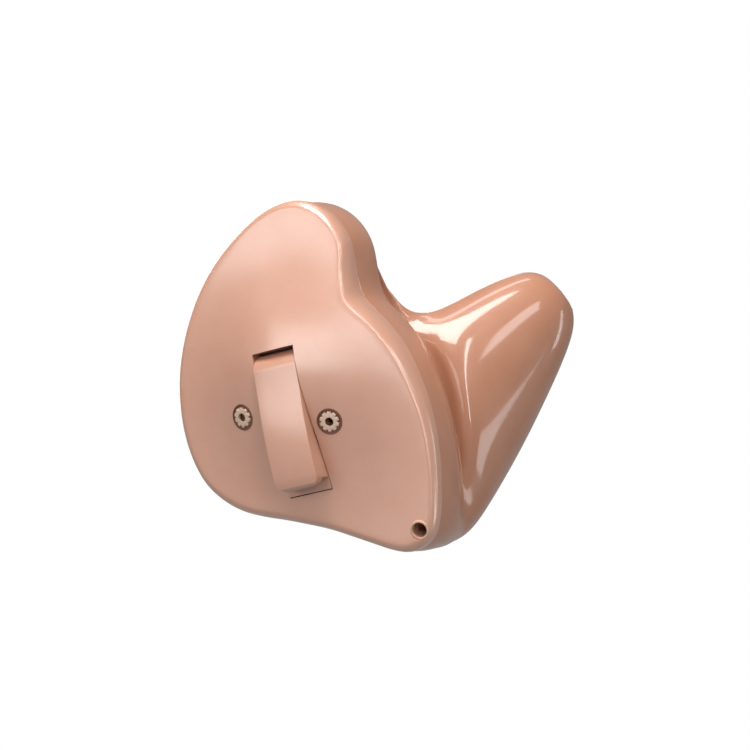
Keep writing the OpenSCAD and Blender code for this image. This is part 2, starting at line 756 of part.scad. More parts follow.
module battery_door() {
  color([0.87, 0.69, 0.6])
    in_door()
      difference() {
        union() {
          intersection() {
            across_door(door_w) door_side();
            union() {
              // The lip and the strip, with rounded corners.
              translate([0, plate_y(lip_low + grip_d), 0])
                rotate([turn / 4, 0, 0])
                  linear_extrude(crown_top)
                    door_plan();
              // The toe below the lip and the skirt behind the strip.
              translate([-door_w / 2, plate_y(lip_low + grip_d) - glue, toe_low - over])
                cube([door_w, -plate_y(lip_low + grip_d) + glue, opening_l]);
            }
            // The toe ends on the arc that it swings through.
            round_at(pin_z, pin_y, 2 * door_w, pin_z - toe_low, 96);
          }
          // The half round at the hinge, flat in front, and the knuckle round the pin.
          intersection() {
            round_at(pin_z, pin_y, door_w, door_round, 96);
            translate([-door_w, face_y, pin_z - over])
              cube([2 * door_w, pin_depth + knuckle_r * 0.6, door_round + 2 * over]);
          }
          round_at(pin_z, pin_y, door_w, knuckle_r, 48);
          // The ring that holds the cell is narrower than the strip, and open at the back.
          difference() {
            round_at(cell_z, cell_y, cradle_w, cradle_r, 96);
            translate([-door_w, cell_y, cell_z - cradle_r * 0.55])
              cube([2 * door_w, 2 * cradle_r, cradle_r * 1.1]);
            translate([-door_w, face_y - cradle_r, cell_z - cradle_r])
              cube([2 * door_w, skirt_y - glue - over - face_y + cradle_r, 2 * cradle_r]);
          }
        }
        round_at(pin_z, pin_y, 2 * door_w, pin_r + pin_gap, 48);
        round_at(cell_z, cell_y, 2 * door_w, ring_r, 96);
      }
}

module at_cell() {
  in_door() translate([0, cell_y, cell_z]) rotate([0, turn / 4, 0]) children();
}
can_in = cell_r - can_t;
seal_in = can_in - seal_t;
cell_edge = can_t;

module battery_can() {
  color([0.75, 0.76, 0.78])
    at_cell()
      difference() {
        rotate_extrude($fn = 96)
          polygon([
            [0, half_cell], [cell_r - cell_edge, half_cell], [cell_r - cell_edge / 3, half_cell - cell_edge / 3],
            [cell_r, half_cell - cell_edge], [cell_r, cap_step - half_cell + cell_edge],
            [can_in, cap_step - half_cell], [can_in, half_cell - can_t], [0, half_cell - can_t]
          ]);
        for (a = [0:turn / 4:turn - 1])
          rotate([0, 0, a])
            translate([cell_r / 2, 0, half_cell - 2 * can_t])
              cylinder(h = 3 * can_t, r = air_r);
      }
}

module battery_seal() {
  color([0.16, 0.24, 0.4])
    at_cell()
      rotate_extrude($fn = 96)
        polygon([
          [seal_in, cap_step - half_cell - seal_t / 4], [can_in, cap_step - half_cell],
          [can_in, half_cell - can_t], [seal_in, half_cell - can_t]
        ]);
}

module battery_cap() {
  color([0.8, 0.8, 0.8])
    at_cell()
      rotate_extrude($fn = 96)
        polygon([
          [0, -half_cell], [seal_in - cap_step, -half_cell], [seal_in - cap_step / 4, -half_cell + cap_step / 4],
          [seal_in, -half_cell + cap_step / 2], [seal_in, half_cell - can_t], [0, half_cell - can_t]
        ]);
}

dimple_share = 0.75;

module contact(side) {
  reach = half_cell + spring_play;
  in_door() {
    // The leaf lies on the side wall of the bay, and its tab goes out through the slot.
    translate([side > 0 ? bay_half - spring_t : -bay_half, spring_y - spring_w / 2, spring_low])
      cube([spring_t, spring_w, spring_high - spring_low]);
    translate([side > 0 ? bay_half - spring_t : -bay_half - tab_l, spring_y - spring_w / 2, spring_low])
      cube([tab_l + spring_t, spring_w, tab_h * 0.5]);
    // The dimple presses on the cell.
    translate([side * (bay_half - spring_t / 2), spring_y, cell_z])
      rotate([0, -side * turn / 4, 0])
        cylinder(
          h = bay_half - spring_t / 2 - reach, d1 = spring_w * dimple_share, d2 = spring_w * dimple_share / 2
        );
  }
}

module contact_positive() {
  color([0.85, 0.7, 0.35]) contact(1);
}

module contact_negative() {
  color([0.78, 0.78, 0.76]) contact(-1);
}

module mic_cover(p) {
  slot_deep = cover_d * 0.14;
  color([0.8, 0.66, 0.55])
    on_plate(p)
      translate([0, 0, -cover_seat])
        difference() {
          union() {
            cylinder(h = cover_t - slot_w / 2, d = cover_d);
            cylinder(h = cover_t, d = cover_d - 2 * slot_deep);
          }
          translate([0, 0, -over]) cylinder(h = cover_t + 2 * over, d = port_d);
          for (i = [0:cover_slots - 1])
            rotate([0, 0, i * turn / cover_slots])
              translate([cover_d / 2 - slot_deep, -slot_w / 2, cover_seat * 0.4])
                cube([slot_deep + over, slot_w, cover_t]);
        }
}

module mic_cover_front() {
  mic_cover(mic_front);
}

module mic_cover_rear() {
  mic_cover(mic_rear);
}

module mic_sleeve(p) {
  color([0.25, 0.25, 0.27])
    behind_plate(p)
      translate([0, 0, -sleeve_in])
        difference() {
          cylinder(h = sleeve_in + sleeve_out, d = sleeve_d);
          translate([0, 0, -over]) cylinder(h = sleeve_in + sleeve_out + 2 * over, d = port_d);
        }
}

module mic_sleeve_front() {
  mic_sleeve(mic_front);
}

module mic_sleeve_rear() {
  mic_sleeve(mic_rear);
}

mic_edge = mic_d / 16;

module microphone(p, middle_x) {
  color([0.7, 0.71, 0.74])
    behind_plate(p)
      translate([middle_x - p.x, 0, sleeve_out])
        difference() {
          rotate_extrude()
            polygon([
              [0, 0], [mic_d / 2 - mic_edge, 0], [mic_d / 2, mic_edge], [mic_d / 2, mic_l - mic_edge],
              [mic_d / 2 - mic_edge, mic_l], [0, mic_l]
            ]);
          translate([p.x - middle_x, 0, -over]) cylinder(h = over + mic_l / 4, d = port_d * 0.7);
        }
}

module microphone_front() {
  microphone(mic_front, capsule_front);
}

module microphone_rear() {
  microphone(mic_rear, capsule_rear);
}

// The board stands on the bay's left wall, chip side away from the bay.
board_y = bay_floor + bay_t - board_h;
board_low = cell_z - board_l * 0.35;
board_face = -bay_out - board_t;

module circuit_board() {
  color([0.1, 0.36, 0.22])
    in_door()
      difference() {
        translate([board_face, board_y, board_low]) cube([board_t, board_h, board_l]);
        for (z = [board_low, board_low + board_l])
          translate([board_face - over, bay_floor + bay_t, z])
            rotate([0, turn / 4, 0])
              cylinder(h = board_t + 2 * over, r = board_t);
      }
}

module signal_chip() {
  color([0.12, 0.12, 0.13])
    in_door()
      translate([board_face - chip_t, board_y + (board_h - chip_w) / 2, board_low + board_l - chip_l - board_t * 2])
        cube([chip_t, chip_w, chip_l]);
}

part_l = board_t * 1.5;

module board_capacitors() {
  color([0.72, 0.58, 0.4])
    in_door()
      for (row = [0:2])
        translate([board_face - part_l * 0.8, board_y + board_h / 4, board_low + board_t + row * part_l * 1.6])
          cube([part_l * 0.8, board_h / 2, part_l]);
}

coil_side = bay_out + coil_d / 2 + glue;
coil_y = cell_y + cell_r * 0.75;
coil_low = cell_z - coil_l * 0.45;
core_d = coil_d * 0.4;
core_over = coil_l * 0.06;

module telecoil_core() {
  color([0.3, 0.3, 0.32])
    in_door()
      translate([coil_side, coil_y, coil_low - core_over])
        cylinder(h = coil_l + 2 * core_over, d = core_d);
}

module telecoil_winding() {
  color([0.72, 0.4, 0.2])
    in_door()
      translate([coil_side, coil_y, coil_low])
        difference() {
          cylinder(h = coil_l, d = coil_d);
          translate([0, 0, -over]) cylinder(h = coil_l + 2 * over, d = core_d);
        }
}

module soft_block(w, h, l, r) {
  linear_extrude(l) {
    square([w - 2 * r, h], center = true);
    square([w, h - 2 * r], center = true);
    for (x = [-1, 1], y = [-1, 1])
      translate([x * (w / 2 - r), y * (h / 2 - r)]) circle(r);
  }
}

rec_corner = rec_w / 8;
spout_l = 0.9;
pad_t = 0.25;

module receiver() {
  color([0.78, 0.79, 0.8])
    in_canal()
      translate([0, 0, -rec_back]) {
        difference() {
          union() {
            translate([0, 0, -rec_l]) soft_block(rec_w, rec_h, rec_l, rec_corner);
            cylinder(h = spout_l, d = tube_bore);
          }
          translate([0, 0, -over]) cylinder(h = spout_l + 2 * over, d = tube_bore * 0.6);
        }
        translate([-rec_w / 4, -rec_h / 4, -rec_l - pad_t]) cube([rec_w / 2, rec_h / 2, pad_t]);
      }
}

module receiver_boot() {
  boot_l = rec_l * 0.86;
  color([0.86, 0.84, 0.8])
    in_canal()
      translate([0, 0, -rec_back - boot_l - rec_l * 0.04])
        difference() {
          union() {
            soft_block(rec_w + 2 * boot_t, rec_h + 2 * boot_t, boot_l, rec_corner + boot_t);
            // Three soft ribs keep the boot off the shell.
            for (k = [0:2])
              translate([0, 0, boot_l * (0.15 + 0.3 * k)])
                soft_block(rec_w + 3 * boot_t, rec_h + 2 * boot_t, boot_t, rec_corner + boot_t);
          }
          translate([0, 0, -over]) soft_block(rec_w, rec_h, boot_l + 2 * over, rec_corner);
        }
}

wax_back = flange_t + wax_l;

module sound_tube() {
  color([0.88, 0.86, 0.84])
    in_canal()
      translate([0, 0, -rec_back])
        difference() {
          cylinder(h = rec_back - wax_back - glue, d = sound_d - 2 * push_gap);
          translate([0, 0, -over]) cylinder(h = rec_back + 2 * over, d = tube_bore);
        }
}

guard_bore = tube_bore;

module wax_guard() {
  color([0.95, 0.95, 0.94])
    in_canal()
      difference() {
        union() {
          translate([0, 0, -wax_back]) cylinder(h = wax_l, d = sound_d - 2 * push_gap);
          translate([0, 0, -flange_t]) cylinder(h = flange_t, d = flange_d);
        }
        translate([0, 0, -wax_back - over]) cylinder(h = wax_back + 2 * over, d = guard_bore);
      }
}

mesh_t = 0.12;
mesh_hole = 0.16;

module wax_mesh() {
  color([0.6, 0.6, 0.6])
    in_canal()
      translate([0, 0, -flange_t])
        difference() {
          cylinder(h = mesh_t, d = guard_bore);
          for (i = [-1:1], j = [-1:1])
            translate([i * guard_bore / 4, j * guard_bore / 4, -over]) cylinder(h = mesh_t + 2 * over, d = mesh_hole);
        }
}

// Wires: a tube swept along hand-placed points, with a ring of eight corners at each point.
wire_sides = 8;
function wire_ring(route, i) =
  let (
    ahead = unit(route[min(i + 1, len(route) - 1)] - route[max(i - 1, 0)]),
    guide = abs(ahead.x) > 0.8 ? [0, 1, 0] : [1, 0, 0],
    u = unit(cross(ahead, guide)),
    v = cross(ahead, u)
  )
    [for (k = [0:wire_sides - 1]) let (a = k * turn / wire_sides) route[i] + wire_r * (cos(a) * u + sin(a) * v)];

module wire(stops, steps) {
  route = open_spline(stops, steps);
  last = len(route) - 1;
  n = len(route) * wire_sides;
  polyhedron(
    points = concat(joined([for (i = [0:last]) wire_ring(route, i)]), [route[0], route[last]]),
    faces = concat(
      wall_faces(len(route), wire_sides, 0, false),
      fan_faces(0, wire_sides, n, true),
      fan_faces(n - wire_sides, wire_sides, n + 1, false)
    ),
    convexity = 4
  );
}

wire_gap = wire_r + glue;
wire_steps = 3;
mic_back = sleeve_out + mic_l;
function mic_end(p, middle_x) = [middle_x, -crown(p.x, p.y) + mic_back + glue, p.y];
function door_point(x, y, z) =
  [door_x + x * cos(door_lean) - z * sin(door_lean), y, door_z + x * sin(door_lean) + z * cos(door_lean)];

module microphone_wires() {
  color([0.75, 0.2, 0.18]) {
    rear = mic_end(mic_rear, capsule_rear);
    wire(
      [
        rear,
        rear + [-0.3, 1, -0.2],
        rear + [-0.4, 2.2, -1.2],
        door_point(board_face - 2.4, board_y + board_h / 2, board_low - 1.4),
        door_point(board_face - 0.8, board_y + board_h / 2, board_low - 1.2),
        door_point(board_face + board_t / 2, board_y + board_h / 2, board_low - glue)
      ],
      wire_steps
    );
    front = mic_end(mic_front, capsule_front);
    wire(
      [
        front,
        front + [0.4, 1.2, -0.6],
        door_point(coil_side + 0.8, coil_y - 1.6, coil_low - 1.6),
        door_point(bay_out + 0.4, bay_floor + 0.6, coil_low - 1.8),
        door_point(0, bay_floor + bay_t + wire_gap, coil_low - 0.6),
        door_point(board_face + board_t / 2, bay_floor + bay_t + wire_gap, board_low + 1)
      ],
      wire_steps
    );
  }
}

module receiver_wires() {
  color([0.2, 0.35, 0.7])
    wire(
      [
        canal_point(0, rec_back + rec_l + pad_t + glue),
        canal_point(0, rec_back + rec_l + 1.4),
        door_point(5, bay_floor + 1.4, cell_z + 2.4),
        door_point(2.4, bay_floor + bay_t + 0.6, cell_z + 2),
        door_point(0, bay_floor + bay_t + wire_gap, cell_z + 1.8),
        door_point(board_face + board_t / 2, bay_floor + bay_t + wire_gap, cell_z + 1.6)
      ],
      wire_steps
    );
}

module battery_wires() {
  tab_mid = tab_h / 4;
  color([0.15, 0.15, 0.16]) {
    wire(
      [
        door_point(-bay_half - tab_l - glue, spring_y, spring_low + tab_mid),
        door_point(-bay_half - tab_l - 0.4, spring_y + 0.5, spring_low + tab_mid - 0.2),
        door_point(-bay_half - tab_l - 0.5, spring_y + 1.2, spring_low + tab_mid + 0.6),
        door_point(board_face - glue - wire_r, board_y + board_h - wire_r, board_low + wire_r)
      ],
      wire_steps
    );
    wire(
      [
        door_point(bay_half + tab_l + glue, spring_y, spring_low + tab_mid),
        door_point(bay_half + tab_l + 0.4, spring_y + 0.6, spring_low - 0.6),
        door_point(bay_out, bay_floor + bay_t + 0.4, spring_low - 0.4),
        door_point(0, bay_floor + bay_t + wire_gap, spring_low + 0.6),
        door_point(board_face + board_t / 2, bay_floor + bay_t + wire_gap, board_low + 2)
      ],
      wire_steps
    );
  }
}

shell();
faceplate();
battery_bay();
hinge_pin();
battery_door();
battery_can();
battery_seal();
battery_cap();
contact_positive();
contact_negative();
mic_cover_front();
mic_cover_rear();
mic_sleeve_front();
mic_sleeve_rear();
microphone_front();
microphone_rear();
circuit_board();
signal_chip();
board_capacitors();
telecoil_core();
telecoil_winding();
receiver();
receiver_boot();
sound_tube();
wax_guard();
wax_mesh();
vent_inlet();
vent_tube();
microphone_wires();
receiver_wires();
battery_wires();
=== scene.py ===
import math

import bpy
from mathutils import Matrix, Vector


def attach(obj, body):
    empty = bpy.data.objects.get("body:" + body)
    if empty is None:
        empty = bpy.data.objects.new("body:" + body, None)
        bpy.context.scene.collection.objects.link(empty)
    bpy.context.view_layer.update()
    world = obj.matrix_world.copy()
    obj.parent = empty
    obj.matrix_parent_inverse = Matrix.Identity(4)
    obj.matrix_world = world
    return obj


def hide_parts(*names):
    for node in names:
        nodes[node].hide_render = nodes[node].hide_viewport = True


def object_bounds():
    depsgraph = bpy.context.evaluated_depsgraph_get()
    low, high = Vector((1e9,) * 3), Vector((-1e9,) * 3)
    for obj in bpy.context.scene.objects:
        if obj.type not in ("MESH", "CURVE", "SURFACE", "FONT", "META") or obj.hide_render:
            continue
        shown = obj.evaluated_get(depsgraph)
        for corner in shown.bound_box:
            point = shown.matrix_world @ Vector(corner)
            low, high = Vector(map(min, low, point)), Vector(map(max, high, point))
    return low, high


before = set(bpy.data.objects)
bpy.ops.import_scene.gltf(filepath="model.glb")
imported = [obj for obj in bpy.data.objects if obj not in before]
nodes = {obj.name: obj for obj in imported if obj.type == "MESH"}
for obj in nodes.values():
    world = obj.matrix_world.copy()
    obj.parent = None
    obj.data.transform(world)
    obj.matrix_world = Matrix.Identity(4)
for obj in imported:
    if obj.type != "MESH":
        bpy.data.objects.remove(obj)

# %% [markdown]
# # An in-the-ear hearing aid
#
# A custom hearing aid that fills the bowl of the ear. Its shell is cast of the wearer's ear, and a faceplate
# with the battery door and the microphones closes it. The CAD model gives every piece its place. Here the
# surfaces that show get their finish: the acrylic faceplate and shell, the door, the two microphone covers
# and the vent's mouth. The camera and the light come first, so that each piece can be judged as soon as it
# is made. All lengths are in metres, written as millimetres times MM.

MM = 0.001
DOOR_LEAN = math.radians(12)    # the door, the bay and the coil lean by this much
cad_low, cad_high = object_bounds()
print("CAD box in mm:", [round((b - a) / MM, 2) for a, b in zip(cad_low, cad_high)])


# %% Small helpers for the steps that every piece needs
def deselect_all():
    """Leaves edit mode and deselects every object, because an operator acts on all that is selected."""
    if bpy.context.object and bpy.context.object.mode != "OBJECT":
        bpy.ops.object.mode_set(mode="OBJECT")
    bpy.ops.object.select_all(action="DESELECT")


def activate(piece):
    deselect_all()
    piece.select_set(True)
    bpy.context.view_layer.objects.active = piece


def apply_modifier(piece, kind, **settings):
    """Adds a modifier, sets it and applies it."""
    activate(piece)
    modifier = piece.modifiers.new(kind.title(), kind)
    for name, value in settings.items():
        setattr(modifier, name, value)
    bpy.ops.object.modifier_apply(modifier=modifier.name)


def settle(piece):
    """Puts the object's place, turn and size into its mesh."""
    activate(piece)
    bpy.ops.object.transform_apply(location=True, rotation=True, scale=True)


def select_where(piece, kind, test):
    """Selects the faces or edges whose places pass the test, and ends in edit mode with only them selected."""
    activate(piece)
    bpy.ops.object.mode_set(mode="EDIT")
    bpy.ops.mesh.select_mode(type=kind)
    bpy.ops.mesh.select_all(action="DESELECT")
    bpy.ops.object.mode_set(mode="OBJECT")
    points = piece.data.vertices
    group = piece.data.polygons if kind == "FACE" else piece.data.edges
    chosen = 0
    for item in group:
        if all(test(points[i].co) for i in item.vertices):
            item.select = True
            chosen += 1
    bpy.ops.object.mode_set(mode="EDIT")
    return chosen


def cut(piece, cutter):
    """Takes the cutter's volume out of the piece and removes the cutter."""
    apply_modifier(piece, "BOOLEAN", operation="DIFFERENCE", solver="EXACT", object=cutter)
    bpy.data.objects.remove(cutter)


def finish_piece(piece, look, body, replaced, angle):
    """Gives a piece its normals, smooth shading, material and the body it rides on, and hides the CAD node it
    replaces.
    """
    activate(piece)
    bpy.ops.object.mode_set(mode="EDIT")
    bpy.ops.mesh.select_all(action="SELECT")
    bpy.ops.mesh.normals_make_consistent(inside=False)
    bpy.ops.object.mode_set(mode="OBJECT")
    bpy.ops.object.shade_smooth_by_angle(angle=math.radians(angle))
    piece.data.materials.clear()
    piece.data.materials.append(look)
    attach(piece, body)
    if replaced:
        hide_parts(replaced)
    print(f"{piece.name}: {len(piece.data.vertices)} vertices, {len(piece.data.polygons)} faces")


# %% [markdown]
# ## Camera
#
# The photograph looks at the faceplate from 28 degrees to its right, level with it, through a long lens: the
# outline shows almost no perspective. A lens of 200 mm at a third of a metre gives that. The frame is
# 750 pixels wide and covers 62.5 mm at the object, so one pixel is a twelfth of a millimetre.

# %% The camera
PHOTO_WIDTH = 750
PIXELS_PER_MM = 12
AZIMUTH = math.radians(28)
ORIGIN_PIXEL = (310, 385)
SENSOR = 36
LENS = 200

view_width = PHOTO_WIDTH / PIXELS_PER_MM * MM
distance = view_width * LENS / SENSOR
to_camera = Vector((math.sin(AZIMUTH), -math.cos(AZIMUTH), 0))
to_right = Vector((math.cos(AZIMUTH), math.sin(AZIMUTH), 0))
half_photo = PHOTO_WIDTH / 2
across = (half_photo - ORIGIN_PIXEL[0]) / PIXELS_PER_MM * MM
upward = (ORIGIN_PIXEL[1] - half_photo) / PIXELS_PER_MM * MM
target = to_right * across + Vector((0, 0, upward))

bpy.ops.object.camera_add(location=target + to_camera * distance)
camera = bpy.context.object
camera.rotation_euler = (-to_camera).to_track_quat("-Z", "Y").to_euler()
camera.data.lens = LENS
camera.data.sensor_width = SENSOR
camera.data.clip_start = 10 * MM
camera.data.clip_end = 5
bpy.context.scene.camera = camera
bpy.context.scene.view_settings.view_transform = "Standard"
print("camera at", [round(v, 4) for v in camera.location])

# %% [markdown]
# ## Floor and light
#
# The background is plain white. Strong light on the floor would whiten it too, but it would also bleach the
# aid. So the floor is a pale sheet some way under the aid that glows white for the camera only, partly for
# reflections, and that keeps a faint shadow. The key light hangs near, high over the front, so that the aid
# grows darker from top to bottom. A broad soft light in front gives the plate its sheen. Small cards draw
# the bright lines and patches on the rim and on the lacquered canal part, and a soft light behind keeps the
# far side readable.

# %% The floor
FLOOR_SIZE = 3
FLOOR_DROP = 45 * MM
bpy.ops.mesh.primitive_plane_add(size=FLOOR_SIZE, location=(0, 0, cad_low.z - FLOOR_DROP))
floor = bpy.context.object
floor.name = "floor"
print("floor at", round(floor.location.z / MM, 1), "mm")


# %% White for the camera, less white in reflections, dark for light that spreads
def seen_directly(tree, mirrored):
    """1 for camera rays, a given share for reflections and through glass, 0 for light that spreads."""
    path = tree.nodes.new("ShaderNodeLightPath")
    other = tree.nodes.new("ShaderNodeMath")
    other.operation = "MAXIMUM"
    part = tree.nodes.new("ShaderNodeMath")
    part.operation = "MULTIPLY"
    part.inputs[1].default_value = mirrored
    both = tree.nodes.new("ShaderNodeMath")
    both.operation = "MAXIMUM"
    tree.links.new(path.outputs["Is Glossy Ray"], other.inputs[0])
    tree.links.new(path.outputs["Is Transmission Ray"], other.inputs[1])
    tree.links.new(other.outputs[0], part.inputs[0])
    tree.links.new(path.outputs["Is Camera Ray"], both.inputs[0])
    tree.links.new(part.outputs[0], both.inputs[1])
    return both.outputs[0]


# %% The floor's material
FLOOR_GREY = (0.25, 0.25, 0.25, 1)
FLOOR_WHITE = 0.92       # share of plain white under the aid, the rest takes its shadow
FLOOR_MIRRORED = 0.3     # share of plain white in reflections
FADE_NEAR = 30 * MM      # the shadow's share fades out between these distances
FADE_FAR = 160 * MM
floor_look = bpy.data.materials.new("pale_floor")
floor_look.use_nodes = True
tree = floor_look.node_tree
paper = tree.nodes["Principled BSDF"]
paper.inputs["Base Color"].default_value = FLOOR_GREY
paper.inputs["Roughness"].default_value = 0.9
white = tree.nodes.new("ShaderNodeEmission")
white.inputs["Color"].default_value = (1, 1, 1, 1)
white.inputs["Strength"].default_value = 1
where = tree.nodes.new("ShaderNodeTexCoord")
away = tree.nodes.new("ShaderNodeVectorMath")
away.operation = "LENGTH"
fade = tree.nodes.new("ShaderNodeMapRange")
fade.inputs["From Min"].default_value = FADE_NEAR
fade.inputs["From Max"].default_value = FADE_FAR
fade.inputs["To Min"].default_value = FLOOR_WHITE
fade.inputs["To Max"].default_value = 1
share = tree.nodes.new("ShaderNodeMath")
share.operation = "MULTIPLY"
mix = tree.nodes.new("ShaderNodeMixShader")
tree.links.new(where.outputs["Object"], away.inputs[0])
tree.links.new(away.outputs["Value"], fade.inputs["Value"])
tree.links.new(fade.outputs["Result"], share.inputs[0])
tree.links.new(seen_directly(tree, FLOOR_MIRRORED), share.inputs[1])
tree.links.new(share.outputs[0], mix.inputs["Fac"])
tree.links.new(paper.outputs[0], mix.inputs[1])
tree.links.new(white.outputs[0], mix.inputs[2])
tree.links.new(mix.outputs[0], tree.nodes["Material Output"].inputs["Surface"])
floor.data.materials.append(floor_look)

# %% The world: darker below than above
SKY_BELOW = (0.1, 0.08, 0.07, 1)
SKY_ABOVE = (0.9, 0.88, 0.86, 1)
SKY_STRENGTH = 0.12
SKY_MIRRORED = 0.22      # share of plain white in reflections
world = bpy.data.worlds.new("studio")
bpy.context.scene.world = world
world.use_nodes = True
sky = world.node_tree
sky.nodes.clear()
place = sky.nodes.new("ShaderNodeTexCoord")
split = sky.nodes.new("ShaderNodeSeparateXYZ")
shift = sky.nodes.new("ShaderNodeMapRange")
shift.inputs["From Min"].default_value = -1
ramp = sky.nodes.new("ShaderNodeValToRGB")
ramp.color_ramp.elements[0].position = 0.4
ramp.color_ramp.elements[0].color = SKY_BELOW
ramp.color_ramp.elements[1].position = 0.75
ramp.color_ramp.elements[1].color = SKY_ABOVE
light = sky.nodes.new("ShaderNodeBackground")
light.inputs["Strength"].default_value = SKY_STRENGTH
plain = sky.nodes.new("ShaderNodeBackground")
plain.inputs["Color"].default_value = (1, 1, 1, 1)
plain.inputs["Strength"].default_value = 1
mix = sky.nodes.new("ShaderNodeMixShader")
world_out = sky.nodes.new("ShaderNodeOutputWorld")
sky.links.new(place.outputs["Generated"], split.inputs[0])
sky.links.new(split.outputs["Z"], shift.inputs["Value"])
sky.links.new(shift.outputs["Result"], ramp.inputs["Fac"])
sky.links.new(ramp.outputs["Color"], light.inputs["Color"])
sky.links.new(seen_directly(sky, SKY_MIRRORED), mix.inputs["Fac"])
sky.links.new(light.outputs[0], mix.inputs[1])
sky.links.new(plain.outputs[0], mix.inputs[2])
sky.links.new(mix.outputs[0], world_out.inputs["Surface"])


# %% The lamps
def add_card(name, towards, away, width, height, power, tint):
    """A flat soft light that faces the aid: direction to it, distance, size and power in watts."""
    direction = Vector(towards).normalized()
    bpy.ops.object.light_add(type="AREA", location=direction * away)
    card = bpy.context.object
    card.name = name
    card.data.shape = "RECTANGLE"
    card.data.size = width
    card.data.size_y = height
    card.data.energy = power
    card.data.color = tint
    card.rotation_euler = (-direction).to_track_quat("-Z", "Y").to_euler()


WARM = (1, 0.97, 0.95)
WHITE = (1, 1, 1)
CARDS = (    # name, direction, distance, width, height, watts, colour
    ("key_above", (0.02, -0.38, 1), 0.17, 0.09, 0.09, 0.35, WARM),
    ("front_sheen", (-0.33, -1, 0.23), 0.3, 0.29, 0.15, 0.4, WHITE),
    ("ridge_line", (-0.2, 0.15, 1), 0.2, 0.12, 0.03, 0.05, WHITE),
    ("canal_patch", (0.952, 0.14, -0.23), 0.14, 0.06, 0.036, 0.026, WHITE),
    ("canal_strip", (0.86, 0.5, 0.06), 0.14, 0.012, 0.05, 0.012, WHITE),
    ("rim_line", (0.65, -0.63, 0.42), 0.25, 0.014, 0.25, 0.19, WHITE),
    ("tip_spot", (0.78, -0.25, 0.57), 0.22, 0.05, 0.045, 0.045, WHITE),
    ("back_fill", (-0.72, 0.72, 0.2), 0.38, 0.24, 0.2, 0.34, WHITE),
)
for card in CARDS:
    add_card(*card)
print("lamps:", len(CARDS))


# %% [markdown]
# ## Materials
#
# The shell and faceplate are cast in skin-coloured acrylic. It is a little cloudy, so its colour varies
# softly over a few millimetres, with very fine pigment grains. Both are lacquered: the faceplate with a
# satin lacquer, the shell with a glossy one. A painted picture could carry all this, but it would need a
# flat map of each piece. Noise needs none and stays sharp close up, so every look is built from noise, in
# one function each, placed by the object's own coordinates. Noise scales are in turns per metre, so 1000
# gives a grain of about a millimetre.

# %% A start for every look: coordinates, noise and a colour mixed from two
def start_look(name):
    look = bpy.data.materials.new(name)
    look.use_nodes = True
    tree = look.node_tree
    where = tree.nodes.new("ShaderNodeTexCoord")
    return look, tree, tree.nodes["Principled BSDF"], where.outputs["Object"]


def noise(tree, where, scale, detail=3):
    node = tree.nodes.new("ShaderNodeTexNoise")
    node.inputs["Scale"].default_value = scale
    node.inputs["Detail"].default_value = detail
    tree.links.new(where, node.inputs["Vector"])
    return node.outputs["Fac"]


def two_tone(tree, value, low, high, start=0.3, end=0.7):
    ramp = tree.nodes.new("ShaderNodeValToRGB")
    ramp.color_ramp.elements[0].position = start
    ramp.color_ramp.elements[0].color = (*low, 1)
    ramp.color_ramp.elements[1].position = end
    ramp.color_ramp.elements[1].color = (*high, 1)
    tree.links.new(value, ramp.inputs["Fac"])
    return ramp.outputs["Color"]


def spread(tree, value, low, high, socket):
    """Maps a noise to a range and links it to a socket."""
    node = tree.nodes.new("ShaderNodeMapRange")
    node.inputs["To Min"].default_value = low
    node.inputs["To Max"].default_value = high
    tree.links.new(value, node.inputs["Value"])
    tree.links.new(node.outputs["Result"], socket)


def relief(tree, value, strength, depth, shader):
    bump = tree.nodes.new("ShaderNodeBump")
    bump.inputs["Strength"].default_value = strength
    bump.inputs["Distance"].default_value = depth
    tree.links.new(value, bump.inputs["Height"])
    tree.links.new(bump.outputs["Normal"], shader.inputs["Normal"])


# %% Acrylic
CLOUDS = 260
GRAINS = 6000
POLISH = 900
GRAIN_SHARE = 0.04
GRAIN_DEPTH = 0.01 * MM


def acrylic(name, colour, dark, rough, shine, coat, gloss, bump, depth):
    """Skin-coloured plastic: cloudy colour, pigment grain, a fine uneven polish and a coat of lacquer.

    rough and shine are those of the plastic, coat is the share of the lacquer and gloss its roughness, bump
    is the strength of the grain's relief, and depth is the share of light that goes under the surface. A
    shinier plastic gets a lacquer that reflects more, too.
    """
    look, tree, shader, where = start_look(name)
    grain = noise(tree, where, GRAINS, 2)
    cloudy = two_tone(tree, noise(tree, where, CLOUDS), dark, colour)
    speckle = tree.nodes.new("ShaderNodeMix")
    speckle.data_type = "RGBA"
    speckle.blend_type = "OVERLAY"
    speckle.inputs["Factor"].default_value = GRAIN_SHARE
    tree.links.new(cloudy, speckle.inputs["A"])
    tree.links.new(two_tone(tree, grain, (0.3, 0.3, 0.3), (0.7, 0.7, 0.7)), speckle.inputs["B"])
    tree.links.new(speckle.outputs["Result"], shader.inputs["Base Color"])
    spread(tree, noise(tree, where, POLISH, 4), rough - 0.05, rough + 0.07, shader.inputs["Roughness"])
    relief(tree, grain, bump, GRAIN_DEPTH, shader)
    shader.inputs["Specular IOR Level"].default_value = shine
    shader.inputs["Coat Weight"].default_value = coat
    shader.inputs["Coat IOR"].default_value = 1.5 + 0.3 * shine
    shader.inputs["Coat Roughness"].default_value = gloss
    shader.inputs["Subsurface Weight"].default_value = depth
    shader.inputs["Subsurface Radius"].default_value = (1.0, 0.5, 0.3)
    shader.inputs["Subsurface Scale"].default_value = 0.5 * MM
    return look


